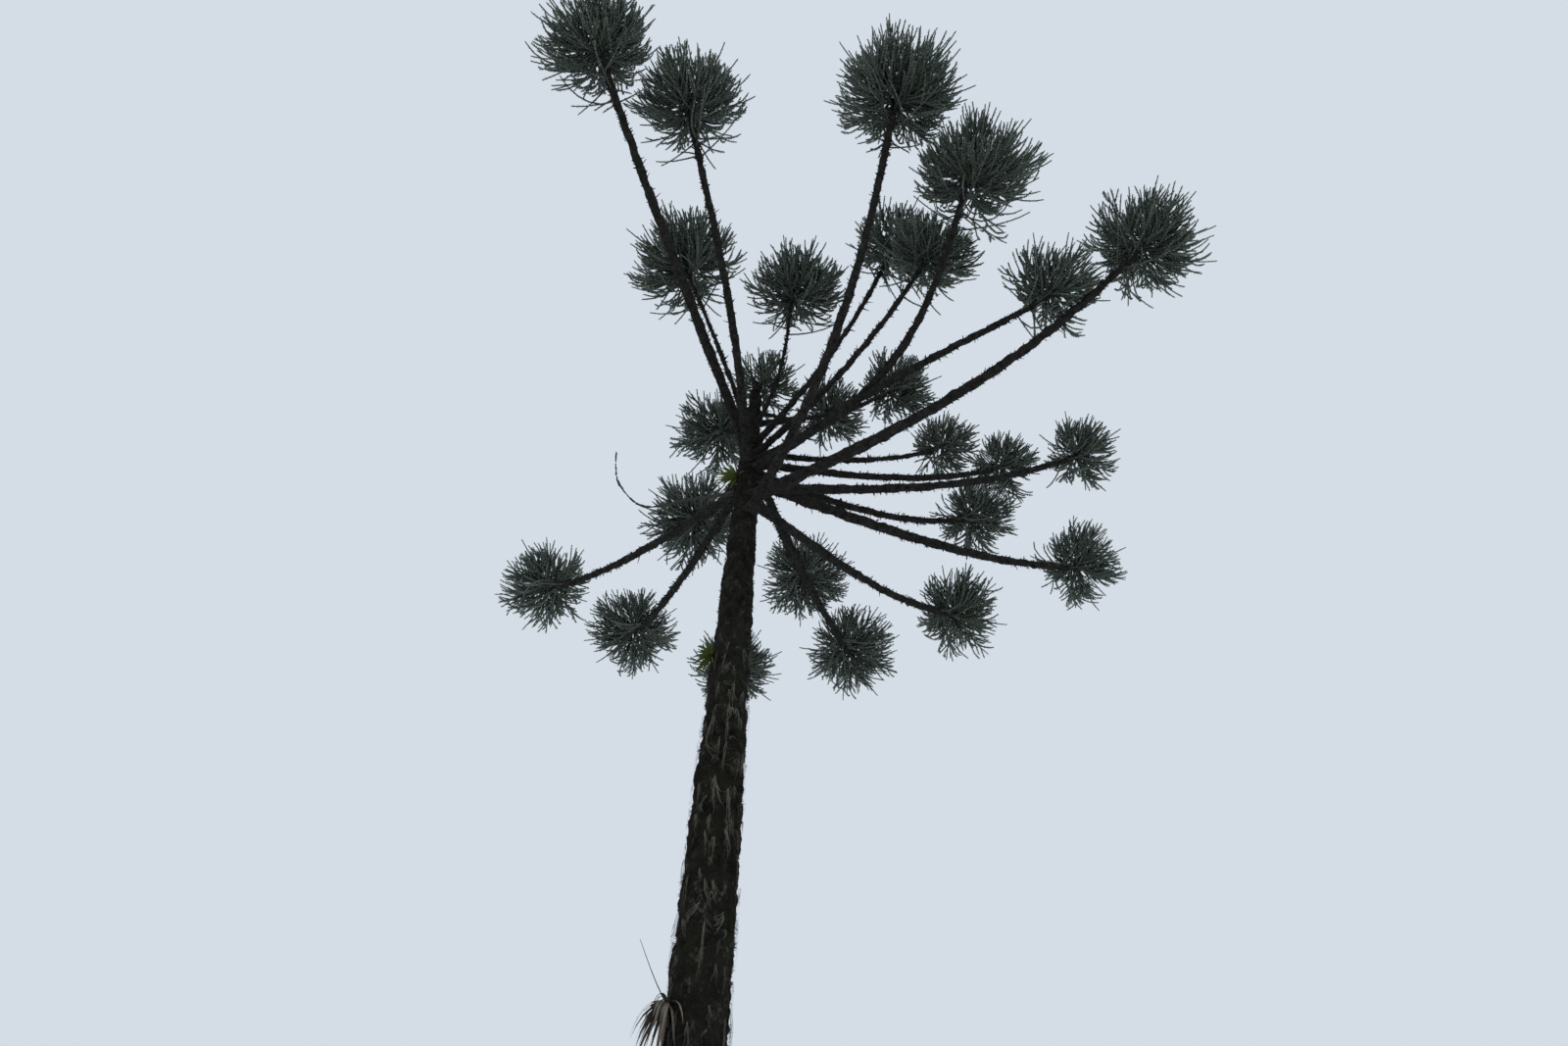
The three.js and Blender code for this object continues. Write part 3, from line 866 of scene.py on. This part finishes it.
def dead_skin():
    points, radii = limb_rings(dead_path(), lambda s: DEAD["base"] + (DEAD["tip"] - DEAD["base"]) * s)
    mesh = swept_limb("dead_branch_skin", points, radii * DEAD_SHRINK, DEAD_SIDES, bough_relief)
    finished_piece("dead_branch_skin", mesh, [DEAD_WOOD], "dead_wood", "dead_branch")


def leader_stem():
    stem = stem_path(TUFTS[-1])
    points = by_length(stem, np.linspace(0, 1, LEADER_RINGS))
    radii = trunk_radius(TRUNK_TOP) * np.linspace(1, LEADER_TIP_SHARE, LEADER_RINGS)
    mesh = swept_limb("leader_stem", points, radii, BOUGH_SIDES, bough_relief)
    finished_piece("leader_stem", mesh, [BOUGH_BARK], "bough_bark")


def twig_arrays(lines, root_radii, tip_radii):
    """Three-sided twigs along lines, thinner at the tip, as points and triangles."""
    all_points, all_triangles, used = [], [], 0
    for line, root_radius, tip_radius in zip(lines, root_radii, tip_radii):
        rings = max(3, round(length_of(line) / TWIG_STEP) + 1)
        points = by_length(line, np.linspace(0, 1, rings))
        _, across, over = frames_along(points)
        radii = np.linspace(root_radius, tip_radius, rings)[:, None, None]
        angles = 2 * math.pi * np.arange(3) / 3
        spokes = (np.cos(angles)[None, :, None] * across[:, None]
                  + np.sin(angles)[None, :, None] * over[:, None])
        tube = (points[:, None] + radii * spokes).reshape(-1, 3)
        corner = np.arange(3)
        base = 3 * np.arange(rings - 1)[:, None]
        here, there = base + corner, base + (corner + 1) % 3
        walls = np.stack([here, there, there + 3, here, there + 3, here + 3], axis=2).reshape(-1, 3)
        ends = np.array([[2, 1, 0], [3 * rings - 3, 3 * rings - 2, 3 * rings - 1]])
        all_points.append(tube)
        all_triangles.append(np.concatenate([walls, ends]) + used)
        used += len(tube)
    return np.concatenate(all_points), np.concatenate(all_triangles)


def blade_arrays(roots, directions, flats, lengths, widths):
    """Pointed blades of two triangles, folded along the middle: root, two shoulders and tip."""
    lift = np.cross(directions, flats) * (BLADE_FOLD * widths)[:, None]
    shoulder = roots + directions * (lengths * BLADE_SHOULDER)[:, None] + lift
    half = flats * (widths / 2)[:, None]
    tips = roots + directions * lengths[:, None]
    points = np.stack([roots, shoulder + half, tips, shoulder - half], axis=1).reshape(-1, 3)
    first = 4 * np.arange(len(roots))[:, None]
    triangles = np.stack([first + (0, 1, 2), first + (0, 2, 3)], axis=1).reshape(-1, 3)
    return points, triangles


def needles_on(line, per_metre):
    """Needles in a close spiral along a branchlet: roots, directions and flats of the blades."""
    count = max(6, round(length_of(line) * per_metre))
    shares = (np.arange(count) + random.uniform(0, 1)) / count
    points = by_length(line, shares)
    tangents = by_length(np.gradient(line, axis=0), shares)
    tangents /= np.linalg.norm(tangents, axis=1)[:, None]
    turns = np.arange(count) * GOLDEN_ANGLE + random.uniform(0, 6.28) + 0.3 * random.normal(size=count)
    helper = unit(np.cross(tangents[0], vector(0.31, 0.17, 0.93)))
    across = helper - tangents * (tangents @ helper)[:, None]
    across /= np.linalg.norm(across, axis=1)[:, None]
    over = np.cross(tangents, across)
    spokes = np.cos(turns)[:, None] * across + np.sin(turns)[:, None] * over
    spread = np.radians(random.uniform(*NEEDLE_SPREAD, count) - SPREAD_LOST_AT_TIP * shares ** 6)
    directions = np.cos(spread)[:, None] * tangents + np.sin(spread)[:, None] * spokes
    flats = np.cross(tangents, spokes)
    return points, directions, flats, shares


def grown_tuft(tuft, index):
    """All branchlet lines of a tuft and the radius of each one's twig: dense above, sparse below."""
    limbs = nearby_limbs(tuft)
    lines, radii = [], []
    for layer, (fullness, offset, seed, shoots, widest, upturn) in enumerate(LAYERS):
        for main in main_branchlets(tuft, index, limbs, fullness, offset, index + seed):
            low = (main[-1] - tuft["centre"]) @ tuft["axis"] < SPARSE_BELOW * tuft["radius"]
            if low and layer:
                continue
            habit = (SPARSE_SHOOTS, SPARSE_LIMIT, SPARSE_UPTURN, 0) if low else (shoots, widest, upturn)
            sides = side_shoots(main, tuft, index, limbs, *habit)
            lines.extend([main, *sides])
            radii.extend([MAIN_RADIUS] + [SHOOT_RADIUS] * len(sides))
    for main in skirt_branchlets(tuft, index, limbs):
        sides = side_shoots(main, tuft, index, limbs, SPARSE_SHOOTS, SPARSE_LIMIT, SKIRT_SHOOT_UPTURN, 0)
        lines.extend([main, *sides])
        radii.extend([SHOOT_RADIUS] * (1 + len(sides)))
    drooping = drooping_twigs(tuft, index, limbs)
    return lines + drooping, radii + [SHOOT_RADIUS] * len(drooping)


def foliage():
    grown = [grown_tuft(tuft, index) for index, tuft in enumerate(TUFTS)]
    total = sum(length_of(line) for lines, _ in grown for line in lines)
    per_metre = NEEDLE_COUNT / total
    for start in range(0, len(TUFTS), TUFTS_PER_PIECE):
        group = range(start, min(start + TUFTS_PER_PIECE, len(TUFTS)))
        label = f"{start // TUFTS_PER_PIECE + 1}"
        nodes = [f"foliage_{TUFTS[index]['name']}" for index in group]
        lines = [line for index in group for line in grown[index][0]]
        radii = [radius for index in group for radius in grown[index][1]]
        points, triangles = twig_arrays(lines, radii, [TIP_RADIUS] * len(lines))
        finished_piece(f"twigs_{label}", joined_mesh(f"twigs_{label}", points, triangles), [TWIG_BARK],
                       "needles", *nodes)
        roots, directions, flats, kinds, lengths = [], [], [], [], []
        for line in lines:
            place, direction, flat, shares = needles_on(line, per_metre)
            roots.append(place)
            directions.append(direction)
            flats.append(flat)
            lengths.append(NEEDLE_LENGTH * random.uniform(*NEEDLE_VARIETY, len(place))
                           * (1 - 0.25 * shares ** 8))
            kinds.append(np.full(2 * len(place), random.choice(3, p=GREEN_SHARES)))
        lengths = np.concatenate(lengths)
        widths = np.full(len(lengths), NEEDLE_WIDTH * (1))
        points, triangles = blade_arrays(np.concatenate(roots), np.concatenate(directions),
                                         np.concatenate(flats), lengths, widths)
        mesh = joined_mesh(f"needles_{label}", points, triangles, np.concatenate(kinds))
        finished_piece(f"needles_{label}", mesh, NEEDLE_GREENS, "needles", *nodes)


# What grows on the bark

def ribbon_arrays(lines, flats, widths):
    """Narrow strips along lines of equal station counts, as points and triangles."""
    half = flats * (widths / 2)[..., None]
    points = np.stack([lines - half, lines + half], axis=2).reshape(-1, 3)
    count, stations = lines.shape[:2]
    first = (2 * stations * np.arange(count))[:, None] + 2 * np.arange(stations - 1)
    corners = [first, first + 1, first + 3, first, first + 3, first + 2]
    triangles = np.stack(corners, axis=-1).reshape(-1, 3)
    return points, triangles


def hanging_lichen():
    """Hanks of threads that hang from one spot on the trunk, and swags that hang between two."""
    t = np.linspace(0, 1, THREAD_STATIONS)
    lines, flats, widths = [], [], []
    for i in range(HANKS + SWAGS):
        swag = i >= HANKS
        threads = random.integers(*THREADS_PER_HANK)
        height = HANK_LOW + (HANK_HIGH - HANK_LOW) * random.uniform() ** 0.8
        turn = random.uniform(0, 2 * math.pi)
        drop = random.uniform(*HANK_DROP) * (2.0 if random.uniform() < LONG_HANK_SHARE else 1.0)
        drift = random.uniform(*SWAG_DRIFT) * random.choice((-1, 1)) if swag else 0.03 * random.normal()
        fall = 4 * t * (1 - t) + 0.5 * t if swag else t
        spread = 0.012 * random.normal(size=(threads, 1)) * (0.4 + 2 * t * (1 - 0.6 * t))
        sway = random.uniform(0.004, 0.022, (threads, 1)) * np.sin(
            t * random.uniform(5, 12, (threads, 1)) + random.uniform(0, 6.28))
        lengths = drop * random.uniform(0.35, 1.1, (threads, 1)) * (0.5 if swag else 1.0)
        heights = height + 0.02 * random.normal(size=(threads, 1)) - lengths * fall
        turns = turn + (spread + sway * t + drift * t) / trunk_radius(heights)
        lift = 0.012 + 0.03 * random.uniform(size=(threads, 1)) * np.sin(math.pi * (0.15 + 0.7 * t))
        points, _, round_it = trunk_surface(heights, turns, lift)
        lines.append(points)
        flats.append(round_it)
        widths.append(THREAD_WIDTH * random.uniform(0.5, 1.2, (threads, 1)) * (1 - 0.75 * t))
    points, triangles = ribbon_arrays(*(np.concatenate(part) for part in (lines, flats, widths)))
    mesh = joined_mesh("hanging_lichen", points, triangles)
    finished_piece("hanging_lichen", mesh, [LICHEN], "trunk_bark")


def trunk_moss():
    """Clumps of short blades of moss and lichen that stand out of the trunk's bark and hang down."""
    count = MOSS_CLUMPS * BLADES_PER_CLUMP
    clump = np.repeat(np.arange(MOSS_CLUMPS), BLADES_PER_CLUMP)
    clump_heights = random.uniform(0.6, TRUNK_TOP - 0.5, MOSS_CLUMPS)
    heights = clump_heights[clump] + CLUMP_SPREAD * random.normal(size=count)
    stray_turn = CLUMP_SPREAD * random.normal(size=count) / trunk_radius(heights)
    turns = random.uniform(0, 2 * math.pi, MOSS_CLUMPS)[clump] + stray_turn
    roots, outward, round_it = trunk_surface(heights, turns, np.full(count, -MOSS_SINK))
    lean = 0.5 * random.normal(size=(MOSS_CLUMPS, 3))[clump] + 0.5 * random.normal(size=(count, 3))
    directions = outward + lean - 0.5 * vector(0, 0, 1)
    directions /= np.linalg.norm(directions, axis=1)[:, None]
    flats = np.cross(directions, vector(0.05, 0.02, 1))
    flats /= np.linalg.norm(flats, axis=1)[:, None]
    clump_lengths = random.uniform(0.35, 1.3, MOSS_CLUMPS)
    lengths = MOSS_LENGTH * clump_lengths[clump] * random.uniform(0.7, 1.2, count)
    points, triangles = blade_arrays(roots, directions, flats, lengths, np.full(count, MOSS_WIDTH))
    pale = random.uniform(size=MOSS_CLUMPS) < TRUNK_LICHEN_SHARE
    kinds = np.repeat(pale.astype(int), 2 * BLADES_PER_CLUMP)
    mesh = joined_mesh("trunk_moss", points, triangles, kinds)
    finished_piece("trunk_moss", mesh, [MOSS, LICHEN], "trunk_bark")


def spots_on_boughs(per_metre):
    """Even random spots on the skins of all boughs: the places and the directions along and out."""
    places, along, out = [], [], []
    for limb in LIMBS.values():
        path = bough_path(limb)
        count = round(per_metre * length_of(path))
        shares = random.uniform(0, 1, count)
        tangents, across, over = (by_length(part, shares) for part in frames_along(path))
        turns = random.uniform(0, 2 * math.pi, count)[:, None]
        spokes = np.cos(turns) * across + np.sin(turns) * over
        points = by_length(path, shares) + spokes * SPOT_SINK_SHARE * bough_radius(limb, shares)[:, None]
        from_axis = np.hypot(points[:, 0] - LEAN * points[:, 2], points[:, 1])
        clear = from_axis > trunk_radius(points[:, 2]) + SPOT_CLEARANCE
        places.append(points[clear])
        along.append(tangents[clear])
        out.append(spokes[clear])
    return np.concatenate(places), np.concatenate(along), np.concatenate(out)


def bough_stubs():
    """Stubs of shed twigs all along the boughs."""
    places, along, out = spots_on_boughs(STUBS_PER_METRE)
    count = len(places)
    lean = random.uniform(0.1, 0.7, (count, 1))
    directions = out + lean * along + 0.25 * random.normal(size=(count, 3))
    lengths = random.uniform(*STUB_LENGTH, count)
    lengths = lengths * np.where(random.uniform(size=count) < LONG_STUB_SHARE, 2.2, 1.0)
    lines = [place + direction * length * np.linspace(0, 1, 3)[:, None]
             for place, direction, length in zip(places, directions, lengths)]
    points, triangles = twig_arrays(lines, random.uniform(*STUB_RADIUS, count), [STUB_TIP] * count)
    mesh = joined_mesh("bough_stubs", points, triangles)
    finished_piece("bough_stubs", mesh, [BOUGH_BARK], "bough_bark")


def bough_moss():
    """A short fringe of moss and lichen along the boughs."""
    places, along, out = spots_on_boughs(BOUGH_MOSS_PER_METRE)
    count = len(places)
    directions = out + 0.5 * random.normal(size=(count, 3)) - vector(0, 0, 0.35)
    directions /= np.linalg.norm(directions, axis=1)[:, None]
    flats = np.cross(directions, along)
    flats /= np.linalg.norm(flats, axis=1)[:, None]
    lengths = MOSS_LENGTH * random.uniform(0.4, 1.0, count)
    points, triangles = blade_arrays(places, directions, flats, lengths, np.full(count, MOSS_WIDTH))
    pale = random.uniform(size=count) < BOUGH_LICHEN_SHARE
    mesh = joined_mesh("bough_moss", points, triangles, np.repeat(pale.astype(int), 2))
    finished_piece("bough_moss", mesh, [MOSS, LICHEN], "bough_bark")


def strap_bunch(height, degrees, count, length, width, droop):
    """Strap leaves that spread from one spot on the trunk: their lines, flats and widths."""
    turn = np.array(math.radians(degrees))
    root, outward, _ = trunk_surface(np.array(height), turn, np.array(0.0))
    t = np.linspace(0, 1, len(STRAP_PROFILE))[None, :, None]
    spread = random.normal(size=(count, 3)) * 0.55
    facing = outward * (1 - 0.5 * droop) + spread + vector(0, 0, 0.3 - 0.9 * droop)
    facing /= np.linalg.norm(facing, axis=1)[:, None]
    lengths = length * random.uniform(0.6, 1.05, (count, 1, 1))
    fall = droop * t ** 2 * vector(0, 0, 1)
    lines = root + lengths * (facing[:, None] * t * (1 - 0.35 * droop * t) - fall)
    flats = np.cross(facing, vector(0.1, 0.2, 1))
    flats /= np.linalg.norm(flats, axis=1)[:, None]
    widths = width * np.array(STRAP_PROFILE)
    return lines, np.tile(flats[:, None], (1, len(widths), 1)), np.tile(widths, (count, 1))


def perching_plants():
    bunches = [strap_bunch(*rosette, STRAP_WIDTH, ROSETTE_DROOP) for rosette in ROSETTES]
    points, triangles = ribbon_arrays(*(np.concatenate(part) for part in zip(*bunches)))
    finished_piece("rosettes", joined_mesh("rosettes", points, triangles), [PERCHING_LEAF], "needles")
    points, triangles = ribbon_arrays(*strap_bunch(*DRY_BUNCH, DRY_WIDTH, DRY_DROOP))
    finished_piece("dry_bunch", joined_mesh("dry_bunch", points, triangles), [DRY_LEAF], "needles")
    line = smooth_path([vector(*knot) for knot in LOOSE_TWIG])
    points, triangles = twig_arrays([line], *([radius] for radius in LOOSE_TWIG_RADII))
    finished_piece("loose_twig", joined_mesh("loose_twig", points, triangles), [DEAD_WOOD], "dead_wood")


# Floor and light

def lay_floor():
    sheet = bmesh.new()
    bmesh.ops.create_grid(sheet, x_segments=2, y_segments=2, size=FLOOR_HALF)
    mesh = bpy.data.meshes.new("floor")
    sheet.to_mesh(mesh)
    sheet.free()
    mesh.materials.append(FLOOR)
    floor = bpy.data.objects.new("floor", mesh)
    floor.location = (0, 0, -FLOOR_DROP)
    bpy.context.collection.objects.link(floor)


def light_scene():
    world = bpy.data.worlds.new("pale_sky")
    world.use_nodes = True
    background = world.node_tree.nodes["Background"]
    background.inputs["Color"].default_value = SKY_COLOUR
    background.inputs["Strength"].default_value = 1.0
    bpy.context.scene.world = world
    sun = bpy.data.lights.new("soft_key", "SUN")
    sun.energy = SUN_STRENGTH
    sun.angle = math.radians(SUN_ANGLE)
    key = bpy.data.objects.new("soft_key", sun)
    key.rotation_euler = [math.radians(turn) for turn in SUN_TILT]
    bpy.context.collection.objects.link(key)
    bpy.context.scene.view_settings.view_transform = "Standard"


lay_floor()
light_scene()
trunk_skin()
bough_skins()
dead_skin()
leader_stem()
foliage()
hanging_lichen()
trunk_moss()
bough_stubs()
bough_moss()
perching_plants()
